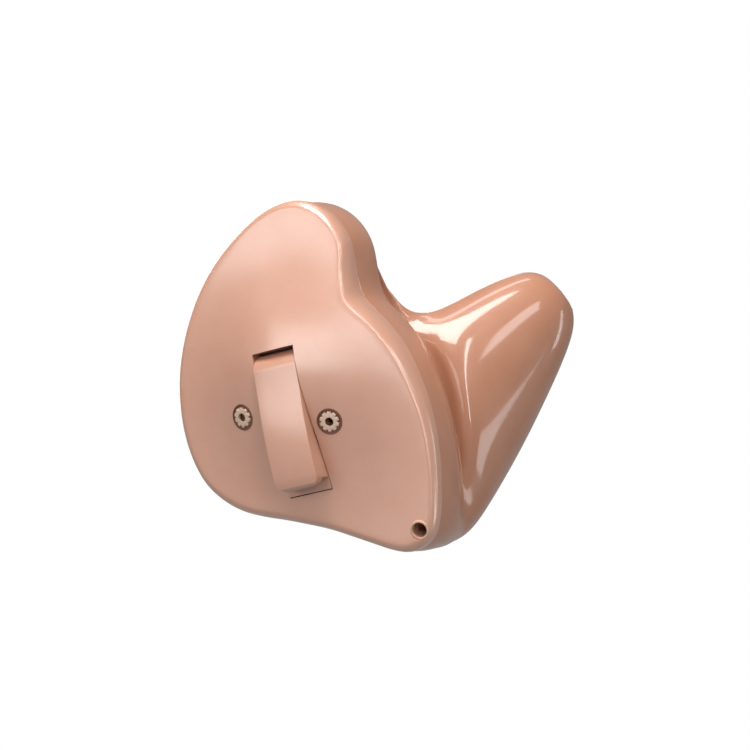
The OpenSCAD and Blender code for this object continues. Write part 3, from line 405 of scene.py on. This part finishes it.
# %% The four acrylic looks
SKIN = (0.56, 0.29, 0.195)
SKIN_DARK = (0.53, 0.26, 0.17)
SHELL = (0.45, 0.21, 0.128)
SHELL_DARK = (0.415, 0.183, 0.106)
LIP = (0.62, 0.38, 0.27)
LIP_DARK = (0.58, 0.34, 0.23)
plate_look = acrylic(
    "plate_acrylic", SKIN, SKIN_DARK, rough=0.44, shine=0.8, coat=1, gloss=0.22, bump=0.1, depth=0.1
)
shell_look = acrylic(
    "shell_acrylic", SHELL, SHELL_DARK, rough=0.4, shine=0.3, coat=0.7, gloss=0.1, bump=0.03, depth=0
)
door_look = acrylic(
    "door_acrylic", SKIN, SKIN_DARK, rough=0.42, shine=0.6, coat=1, gloss=0.22, bump=0.1, depth=0.1
)
vent_look = acrylic(
    "vent_acrylic", LIP, LIP_DARK, rough=0.3, shine=0.5, coat=0.3, gloss=0.1, bump=0.1, depth=0.1
)


# %% Metal, with fine scratches along one direction
def metal(name, colour, rough):
    look, tree, shader, where = start_look(name)
    stretch = tree.nodes.new("ShaderNodeMapping")
    stretch.inputs["Scale"].default_value = (1, 1, 12)
    tree.links.new(where, stretch.inputs["Vector"])
    lines = noise(tree, stretch.outputs["Vector"], 1800, 5)
    darker = tuple(0.8 * c for c in colour)
    tree.links.new(two_tone(tree, noise(tree, where, 500), darker, colour), shader.inputs["Base Color"])
    spread(tree, lines, rough - 0.08, rough + 0.12, shader.inputs["Roughness"])
    relief(tree, lines, 0.15, 0.005 * MM, shader)
    shader.inputs["Metallic"].default_value = 1
    return look


# %% Rubber and moulded plastic
def moulded(name, colour, rough, bump=0.2):
    look, tree, shader, where = start_look(name)
    darker = tuple(0.78 * c for c in colour)
    tree.links.new(two_tone(tree, noise(tree, where, 350), darker, colour), shader.inputs["Base Color"])
    spread(tree, noise(tree, where, 1200), rough - 0.06, rough + 0.1, shader.inputs["Roughness"])
    relief(tree, noise(tree, where, 2500, 4), bump, GRAIN_DEPTH, shader)
    return look


# %% The circuit board: green lacquer with pale tracks
def board(name):
    look, tree, shader, where = start_look(name)
    cells = tree.nodes.new("ShaderNodeTexVoronoi")
    cells.distance = "MANHATTAN"
    cells.inputs["Scale"].default_value = 1400
    tree.links.new(where, cells.inputs["Vector"])
    tracks = two_tone(tree, cells.outputs["Distance"], (0.02, 0.13, 0.06), (0.05, 0.3, 0.13), 0.35, 0.5)
    tree.links.new(tracks, shader.inputs["Base Color"])
    spread(tree, noise(tree, where, 900), 0.25, 0.4, shader.inputs["Roughness"])
    relief(tree, cells.outputs["Distance"], 0.3, GRAIN_DEPTH, shader)
    return look


# %% The coil's winding: fine turns of lacquered wire round the coil's leaning axis
def winding(name):
    look, tree, shader, where = start_look(name)
    lean = tree.nodes.new("ShaderNodeMapping")
    lean.inputs["Rotation"].default_value = (0, DOOR_LEAN, 0)
    tree.links.new(where, lean.inputs["Vector"])
    turns = tree.nodes.new("ShaderNodeTexWave")
    turns.bands_direction = "Z"
    turns.inputs["Scale"].default_value = 1500
    turns.inputs["Distortion"].default_value = 0.6
    tree.links.new(lean.outputs["Vector"], turns.inputs["Vector"])
    copper = two_tone(tree, turns.outputs["Fac"], (0.2, 0.07, 0.025), (0.62, 0.28, 0.1))
    tree.links.new(copper, shader.inputs["Base Color"])
    spread(tree, noise(tree, where, 900), 0.25, 0.4, shader.inputs["Roughness"])
    relief(tree, turns.outputs["Fac"], 0.6, 0.03 * MM, shader)
    shader.inputs["Metallic"].default_value = 0.7
    return look


# %% [markdown]
# ## The pieces inside
#
# Under the faceplate lie the battery bay with its cell, the microphones, the circuit, the coil, the receiver
# that speaks into the ear, and wires. They hardly show, and their CAD forms are plain boxes, rods and tubes
# as the real ones are. They could be modelled again with finer edges, but nobody would see it before the aid
# is taken apart. So they keep the CAD meshes and get looks that tell steel, gilt, rubber and nylon apart.

# %% Looks of the pieces that stay as the CAD model has them
def paint(look, *names):
    for name in names:
        nodes[name].data.materials.clear()
        nodes[name].data.materials.append(look)


paint(moulded("bay_plastic", (0.09, 0.052, 0.04), 0.45), "battery_bay")
paint(metal("pin_steel", (0.62, 0.63, 0.65), 0.25), "hinge_pin")
paint(metal("can_steel", (0.68, 0.69, 0.71), 0.22), "battery_can")
paint(moulded("seal_nylon", (0.03, 0.07, 0.2), 0.4), "battery_seal")
paint(metal("cap_metal", (0.66, 0.66, 0.66), 0.3), "battery_cap")
paint(metal("gilt_spring", (0.83, 0.6, 0.25), 0.25), "contact_positive")
paint(metal("nickel_spring", (0.66, 0.65, 0.6), 0.28), "contact_negative")
paint(moulded("sleeve_rubber", (0.05, 0.05, 0.055), 0.7, 0.4), "mic_sleeve_front", "mic_sleeve_rear")
paint(metal("capsule_metal", (0.6, 0.61, 0.63), 0.3), "microphone_front", "microphone_rear")
paint(board("board_green"), "circuit_board")
paint(moulded("chip_black", (0.015, 0.015, 0.017), 0.4), "signal_chip")
paint(moulded("capacitor_ceramic", (0.42, 0.28, 0.16), 0.5), "board_capacitors")
paint(metal("core_iron", (0.2, 0.2, 0.21), 0.45), "telecoil_core")
paint(winding("copper_wire"), "telecoil_winding")
paint(metal("receiver_steel", (0.62, 0.63, 0.64), 0.28), "receiver")
paint(moulded("boot_rubber", (0.5, 0.46, 0.4), 0.65, 0.4), "receiver_boot")
paint(moulded("tube_rubber", (0.6, 0.55, 0.5), 0.5, 0.3), "sound_tube")
paint(moulded("guard_plastic", (0.78, 0.78, 0.75), 0.4), "wax_guard")
paint(moulded("mesh_plastic", (0.35, 0.35, 0.36), 0.5), "wax_mesh")
paint(vent_look, "vent_tube")
paint(moulded("wire_red", (0.45, 0.04, 0.03), 0.4), "microphone_wires")
paint(moulded("wire_blue", (0.03, 0.09, 0.4), 0.4), "receiver_wires")
paint(moulded("wire_black", (0.02, 0.02, 0.022), 0.4), "battery_wires")
print("materials so far:", len(bpy.data.materials))

# %% [markdown]
# ## Shell
#
# The shell is cast in a mould of the ear, so it is one smooth skin with no straight line in it. It could be
# sculpted or lofted again through new rings, but then it would depart from the CAD solid, which has its true
# form in coarse facets. So a copy of that solid is turned into quads and subdivided, and creases hold its
# sharp rims.

# %% A copy of a CAD mesh to work on
def merged_copy(node, name):
    """A copy of a CAD node with its loose triangles joined, at the origin and riding on nothing yet."""
    piece = bpy.data.objects.new(name, nodes[node].data.copy())
    bpy.context.scene.collection.objects.link(piece)
    piece.data.materials.clear()
    activate(piece)
    bpy.ops.object.mode_set(mode="EDIT")
    bpy.ops.mesh.select_all(action="SELECT")
    bpy.ops.mesh.remove_doubles(threshold=0.0005 * MM)
    bpy.ops.object.mode_set(mode="OBJECT")
    return piece


# %% The shell's skin
RIM_TURN = math.radians(50)    # edges that turn by more than this stay sharp
shell_skin = merged_copy("shell", "shell_skin")
bpy.ops.object.mode_set(mode="EDIT")
bpy.ops.mesh.tris_convert_to_quads(face_threshold=RIM_TURN, shape_threshold=math.radians(70))
bpy.ops.mesh.select_all(action="DESELECT")
bpy.ops.mesh.select_mode(type="EDGE")
bpy.ops.mesh.edges_select_sharp(sharpness=RIM_TURN)
bpy.ops.transform.edge_crease(value=1)
bpy.ops.object.mode_set(mode="OBJECT")
apply_modifier(shell_skin, "SUBSURF", levels=2, render_levels=2)
finish_piece(shell_skin, shell_look, "housing", "shell", 45)

# %% [markdown]
# ## Faceplate
#
# The faceplate is a moulded lid that is trimmed to the shell's rim, domed round the battery door. A plane
# with a modifier that bulges it would do, but its rim would be ragged. So the plate starts as a disc whose
# corners are set on the CAD plate's outline, smoothed between its points. It is extruded to the plate's
# thickness, its outer edge is rounded, and the top and the underside are drawn in towards the hub ring by
# ring, each ring raised to the crown of the plate. Then the door's opening, the seats of the microphone
# covers, the ports and the vent's hole are cut.

# %% The plate's sizes, in the CAD model's frame
PLATE_T = 1.2 * MM
EDGE_R = 0.7 * MM
HUB = Vector((-2.0, 0, -0.99)) * MM
CROWN_HEIGHT = 3 * MM
CROWN_MIDDLE = 1.5 * MM    # the crown's top lies this far above the origin
CROWN_WIDE = 8.5 * MM      # how far the crown spreads sideways
CROWN_TALL = 8.25 * MM     # and up and down


def crown(x, z):
    """Height of the plate's crown over its flat edge."""
    return CROWN_HEIGHT * math.exp(-(x / CROWN_WIDE) ** 2 - ((z - CROWN_MIDDLE) / CROWN_TALL) ** 2)


print("crown at the hub:", round(crown(HUB.x, HUB.z) / MM, 2), "mm")


# %% The outline
edge_level = -(PLATE_T - EDGE_R)    # the rim is upright up to here, and its corners lie there
corners = {
    (round(v.co.x, 6), round(v.co.z, 6))
    for v in nodes["faceplate"].data.vertices
    if abs(v.co.y - edge_level) < 0.001 * MM
}
corners = sorted(corners, key=lambda p: math.atan2(p[1] - HUB.z, p[0] - HUB.x))
corners = [Vector(p) for p in corners]
FINE = 4
outline = []
for i in range(len(corners)):
    a, b, c, d = (corners[(i + k) % len(corners)] for k in (-1, 0, 1, 2))
    for k in range(FINE):
        t = k / FINE    # the way from b to c, on a curve that a and d bend
        outline.append(
            (2 * b + (c - a) * t + (2 * a - 5 * b + 4 * c - d) * t * t + (3 * b - a - 3 * c + d) * t ** 3) / 2
        )
print(len(corners), "corners, outline of", len(outline))

# %% The disc, its thickness and its rounded edge
bpy.ops.mesh.primitive_circle_add(vertices=len(outline), radius=10 * MM, fill_type="NGON")
plate = bpy.context.object
plate.name = "plate_skin"
for vertex, place in zip(plate.data.vertices, outline):
    vertex.co = (place.x, 0, place.y)
activate(plate)
bpy.ops.object.mode_set(mode="EDIT")
bpy.ops.mesh.select_all(action="SELECT")
bpy.ops.mesh.extrude_region_move(TRANSFORM_OT_translate={"value": (0, -PLATE_T, 0)})
select_where(plate, "EDGE", lambda co: co.y < -PLATE_T * 0.99)
bpy.ops.mesh.bevel(offset=EDGE_R, offset_type="OFFSET", segments=8, profile=0.5, affect="EDGES")
bpy.ops.object.mode_set(mode="OBJECT")


# %% The top and the underside drawn in towards the hub
def lower_selected(piece, base):
    """Puts the selected points on the crown, over a base height."""
    bpy.ops.object.mode_set(mode="OBJECT")
    for vertex in piece.data.vertices:
        if vertex.select:
            vertex.co.y = -base - crown(vertex.co.x, vertex.co.z)
    bpy.ops.object.mode_set(mode="EDIT")


def draw_in(piece, base, shares):
    """Extrudes the selected face in place and scales it towards the hub, again and again."""
    last = 1
    for share in shares:
        bpy.ops.mesh.extrude_region_move()
        step = share / last
        bpy.ops.transform.resize(value=(step, 1, step), center_override=HUB)
        lower_selected(piece, base)
        last = share


RINGS = 22
JOINT_SHARE = 0.89     # the flat joint with the shell reaches in to this share of the outline
CROWN_SHARE = 0.97     # and the crown's underside begins at this share of what is left
shares = [1 - k / (RINGS + 1) for k in range(1, RINGS + 1)]
top_faces = select_where(plate, "FACE", lambda co: co.y < -PLATE_T * 0.999)
draw_in(plate, PLATE_T, shares)
under_faces = select_where(plate, "FACE", lambda co: abs(co.y) < 0.001 * MM)
bpy.ops.mesh.extrude_region_move()
bpy.ops.transform.resize(value=(JOINT_SHARE, 1, JOINT_SHARE), center_override=HUB)
draw_in(plate, 0, [CROWN_SHARE] + [CROWN_SHARE * s for s in shares[1:]])
bpy.ops.object.mode_set(mode="OBJECT")
for vertex in plate.data.vertices:
    depth = -vertex.co.y
    if PLATE_T - EDGE_R < depth < PLATE_T * 1.0001:
        vertex.co.y -= crown(vertex.co.x, vertex.co.z) * (depth - PLATE_T + EDGE_R) / EDGE_R
print("faces drawn in:", top_faces, under_faces, "plate points:", len(plate.data.vertices))


# %% The slope of the crown and a round cutter
def plate_normal(x, z):
    """Direction out of the plate's crown at a place."""
    step = 0.01 * MM
    slope_x = (crown(x + step, z) - crown(x - step, z)) / (2 * step)
    slope_z = (crown(x, z + step) - crown(x, z - step)) / (2 * step)
    return Vector((-slope_x, -1, -slope_z)).normalized()


def rod(name, middle, direction, radius, length, sides=48):
    """A cylinder along a direction."""
    bpy.ops.mesh.primitive_cylinder_add(vertices=sides, radius=radius, depth=length)
    piece = bpy.context.object
    piece.name = name
    piece.rotation_euler = direction.to_track_quat("Z", "Y").to_euler()
    piece.location = middle
    settle(piece)
    return piece


# %% The door's opening
DOOR_MIDDLE = Vector((-0.15, 0, -3.05)) * MM
OPENING = (4.12 * MM, 12.2 * MM)
THROUGH = 12 * MM    # long enough to cut the plate through
bpy.ops.mesh.primitive_cube_add(size=1, location=DOOR_MIDDLE)
box = bpy.context.object
box.scale = (OPENING[0], THROUGH, OPENING[1])
box.rotation_euler = (0, -DOOR_LEAN, 0)
settle(box)
cut(plate, box)
print("plate with the door's opening:", len(plate.data.polygons), "faces")

# %% The seats and ports of the microphones, and the vent's hole
FRONT = (3.52 * MM, -3.0 * MM)
REAR = (-4.825 * MM, -2.7 * MM)
SEAT = 0.3 * MM           # depth of a cover's seat
SEAT_ROOM = 0.02 * MM     # play round the cover
SEAT_CUTTER = 2 * MM
COVER_R = 1.1 * MM
PORT_R = 0.35 * MM
VENT_MOUTH = Vector((10.8976, -1.24168, -11.8861)) * MM
VENT_WAY = Vector((-0.0905, 0.9614, 0.26)).normalized()
VENT_R = 0.825 * MM
for x, z in (FRONT, REAR):
    out = plate_normal(x, z)
    top = Vector((x, -PLATE_T - crown(x, z), z))
    cut(plate, rod("seat", top + out * (SEAT_CUTTER / 2 - SEAT), out, COVER_R + SEAT_ROOM, SEAT_CUTTER))
    cut(plate, rod("port", top, out, PORT_R, THROUGH / 2))
cut(plate, rod("vent_hole", VENT_MOUTH, VENT_WAY, VENT_R, THROUGH / 2))
finish_piece(plate, plate_look, "housing", "faceplate", 32)

# %% [markdown]
# ## Battery door and vent
#
# The door is a moulded strip with a nail lip, which swings out with the cell in its ring. The vent's inlet is
# a short collar that lets air past the aid. Both have small features that have to meet the parts round them,
# so they could be modelled anew only with all the CAD sizes again. It is surer to start from copies of the
# CAD meshes. The front of the door is set on the gentle bow that the photograph shows, flatter near the
# hinge so that the door still opens. The sharp edges get a small bevel, so that they catch the light as
# moulded edges do.

# %% Softened copies
def softened(node, name, width, look, body, shape=None):
    """A copy of a CAD node with its flat faces joined, its form changed if asked, and its edges bevelled."""
    piece = merged_copy(node, name)
    bpy.ops.object.mode_set(mode="EDIT")
    bpy.ops.mesh.select_all(action="SELECT")
    bpy.ops.mesh.dissolve_limited(angle_limit=math.radians(0.5))
    bpy.ops.object.mode_set(mode="OBJECT")
    if shape:
        shape(piece)
    apply_modifier(
        piece, "BEVEL", width=width, segments=3, limit_method="ANGLE", angle_limit=math.radians(35),
        use_clamp_overlap=True
    )
    finish_piece(piece, look, body, node, 40)


# %% The door's bow, in millimetres along the door and in depth
DOOR_ALONG = Matrix.Rotation(-DOOR_LEAN, 4, "Y") @ Vector((0, 0, 1))
CUTS = 14
CUT_LOW = -5.2
CUT_STEP = 0.75
BOW_TOP = 0.1        # the place along the door that stands out most
BOW_OUT = 0.07       # how far it stands out
BOW_CURVE = 0.017    # how the lower part falls back with the square of the distance
BOW_SINK = 0.12      # how far the upper part falls back, over the length of BOW_RUN
BOW_RUN = 3
MOVED_DEPTH = 3.2    # points further out than this move fully, points behind STILL_DEPTH stay
STILL_DEPTH = 2.6


def bow_strip(piece):
    """Cuts the door across its length and sets the points of its front on a gentle bow."""
    for cut_number in range(CUTS):
        bpy.ops.object.mode_set(mode="EDIT")
        bpy.ops.mesh.select_all(action="SELECT")
        height = (CUT_LOW + CUT_STEP * cut_number) * MM
        bpy.ops.mesh.bisect(plane_co=DOOR_MIDDLE + DOOR_ALONG * height, plane_no=DOOR_ALONG)
        bpy.ops.object.mode_set(mode="OBJECT")
    for vertex in piece.data.vertices:
        z = (vertex.co - DOOR_MIDDLE).dot(DOOR_ALONG) / MM - BOW_TOP
        rise = min(1, max(0, z / BOW_RUN))
        sink = BOW_SINK * rise * rise * (3 - 2 * rise) if z > 0 else BOW_CURVE * z * z
        depth = -vertex.co.y / MM
        weight = min(1, max(0, (depth - STILL_DEPTH) / (MOVED_DEPTH - STILL_DEPTH)))
        vertex.co.y += weight * (sink - BOW_OUT) * MM


# %% The door and the vent's inlet
DOOR_EDGE = 0.12 * MM
LIP_EDGE = 0.07 * MM
softened("battery_door", "door_skin", DOOR_EDGE, door_look, "battery_door", bow_strip)
softened("vent_inlet", "vent_lip", LIP_EDGE, vent_look, "housing")

# %% [markdown]
# ## Microphone covers
#
# Each microphone hears through a small round cover that keeps wax and dust out. It could be one disc with
# slots cut through it. Here it is made of a cup with a cream cap in it, and the cup is dark brown: painted
# shade in the groove round the cap and in the slots. The cap's edge has ten notches, through which the cup's
# painted shade shows as slots, and the sound port goes through its middle. Each cover is turned to the slope
# of the plate under it.

# %% Looks of the covers
# The cup's dark brown is painted shade: it darkens the groove round the cap and the slots between its notches.
cup_shade_look = moulded("cup_painted_shade", (0.22, 0.09, 0.055), 0.5)
cap_look = moulded("cap_cream", (0.7, 0.52, 0.39), 0.35, 0.1)


# %% Where a cover sits
def place_cover(piece, x, z, height):
    """Sets a cover's piece on the plate, turned to its slope, at a height over the crown."""
    out = plate_normal(x, z)
    piece.rotation_euler = out.to_track_quat("Z", "Y").to_euler()
    piece.location = Vector((x, -PLATE_T - crown(x, z), z)) + out * height
    settle(piece)


# %% The cup
CUP_WALL = 0.07 * MM
CUP_DEPTH = 0.12 * MM
CUP_EDGE = 0.02 * MM
CUP_PROUD = 0.02 * MM    # the cup stands this far over the plate


def make_cup(name, x, z):
    """A shallow cup: a disc with its top drawn in and sunk to a groove."""
    bpy.ops.mesh.primitive_cylinder_add(vertices=80, radius=COVER_R, depth=SEAT)
    piece = bpy.context.object
    piece.name = name
    select_where(piece, "FACE", lambda co: co.z > SEAT * 0.49)
    bpy.ops.mesh.inset(thickness=CUP_WALL, depth=0)
    bpy.ops.mesh.extrude_region_move(TRANSFORM_OT_translate={"value": (0, 0, -CUP_DEPTH)})
    bpy.ops.object.mode_set(mode="OBJECT")
    apply_modifier(piece, "BEVEL", width=CUP_EDGE, segments=2, limit_method="ANGLE")
    cut(piece, rod("port", Vector((0, 0, 0)), Vector((0, 0, 1)), PORT_R, SEAT_CUTTER))
    place_cover(piece, x, z, -SEAT / 2 + CUP_PROUD)
    return piece


# %% The cap
CAP_R = 0.84 * MM
CAP_T = 0.24 * MM
CAP_EDGE = 0.05 * MM
CAP_SINK = 0.02 * MM     # its middle lies this far under the plate's surface
CAP_PORT_R = PORT_R * 1.05
NOTCH = 0.17 * MM
NOTCHES = 10


def make_cap(name, x, z):
    """The cream cap: a disc with a scalloped edge, rounded on top, with the port through it."""
    bpy.ops.mesh.primitive_cylinder_add(vertices=120, radius=1, depth=CAP_T)
    piece = bpy.context.object
    piece.name = name
    for vertex in piece.data.vertices:
        angle = math.atan2(vertex.co.y, vertex.co.x)
        radius = CAP_R - NOTCH * max(0, math.cos(NOTCHES * angle)) ** 1.5
        vertex.co.x = radius * math.cos(angle)
        vertex.co.y = radius * math.sin(angle)
    select_where(piece, "EDGE", lambda co: co.z > 0.4 * CAP_T)
    bpy.ops.mesh.bevel(offset=CAP_EDGE, segments=3, affect="EDGES")
    bpy.ops.object.mode_set(mode="OBJECT")
    cut(piece, rod("port", Vector((0, 0, 0)), Vector((0, 0, 1)), CAP_PORT_R, SEAT_CUTTER))
    place_cover(piece, x, z, -CAP_SINK)
    return piece


# %% Both covers in place
for side, (x, z) in (("front", FRONT), ("rear", REAR)):
    cup = make_cup(f"cover_cup_{side}", x, z)
    finish_piece(cup, cup_shade_look, "housing", f"mic_cover_{side}", 35)
    cap = make_cap(f"cover_cap_{side}", x, z)
    finish_piece(cap, cap_look, "housing", None, 35)
